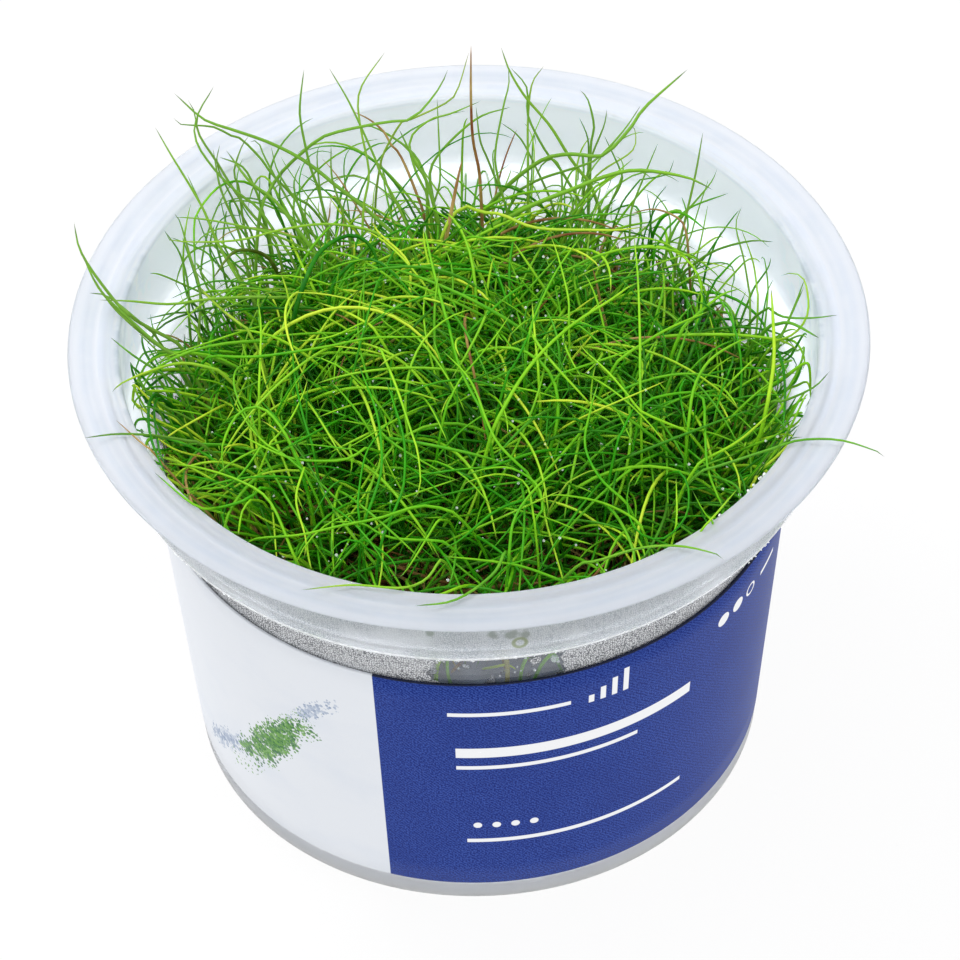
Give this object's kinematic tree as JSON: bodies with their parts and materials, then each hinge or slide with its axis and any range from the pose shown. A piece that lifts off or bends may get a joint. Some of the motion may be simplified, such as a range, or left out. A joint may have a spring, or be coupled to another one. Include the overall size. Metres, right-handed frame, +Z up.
{
  "type": "dwarf hairgrass in a culture cup",
  "caption": "Dense clump of fine arching grass blades growing from a root mat in a lidless translucent cup with a wide flat rim and a printed band.",
  "frame": {"origin": "centre of the cup's flat underside", "axes": "+Z up along the cup's axis, -Y towards the middle of the printed band's front"},
  "size_m": [0.101, 0.1, 0.082],
  "materials": {
    "cup_plastic": "milky translucent moulded plastic with a satin surface and fine condensation inside",
    "label_print": "printed band, dark blue with a fine woven grain and one pale panel",
    "clear_gel": "smooth cloudy gel",
    "brown_roots": "matted brown roots and old leaves",
    "green_blade": "moist green leaf, from yellow-green to deep green"
  },
  "bodies": {
    "root": {"cup": "cup_plastic", "label": "label_print", "growing_gel": "clear_gel", "root_mat": "brown_roots", "grass_tuft_01": "green_blade", "grass_tuft_02": "green_blade", "grass_tuft_03": "green_blade", "grass_tuft_04": "green_blade", "grass_tuft_05": "green_blade", "grass_tuft_06": "green_blade", "grass_tuft_07": "green_blade", "grass_tuft_08": "green_blade", "grass_tuft_09": "green_blade", "grass_tuft_10": "green_blade", "grass_tuft_11": "green_blade", "grass_tuft_12": "green_blade", "grass_tuft_13": "green_blade", "grass_tuft_14": "green_blade", "grass_tuft_15": "green_blade", "grass_tuft_16": "green_blade", "grass_tuft_17": "green_blade", "grass_tuft_18": "green_blade", "grass_tuft_19": "green_blade", "grass_tuft_20": "green_blade", "grass_tuft_21": "green_blade", "grass_tuft_22": "green_blade", "grass_tuft_23": "green_blade", "grass_tuft_24": "green_blade", "grass_tuft_25": "green_blade", "grass_tuft_26": "green_blade", "grass_tuft_27": "green_blade", "grass_tuft_28": "green_blade", "grass_tuft_29": "green_blade", "grass_tuft_30": "green_blade", "grass_tuft_31": "green_blade", "grass_tuft_32": "green_blade", "grass_tuft_33": "green_blade", "grass_tuft_34": "green_blade", "grass_tuft_35": "green_blade", "grass_tuft_36": "green_blade"}
  },
  "joints": []
}
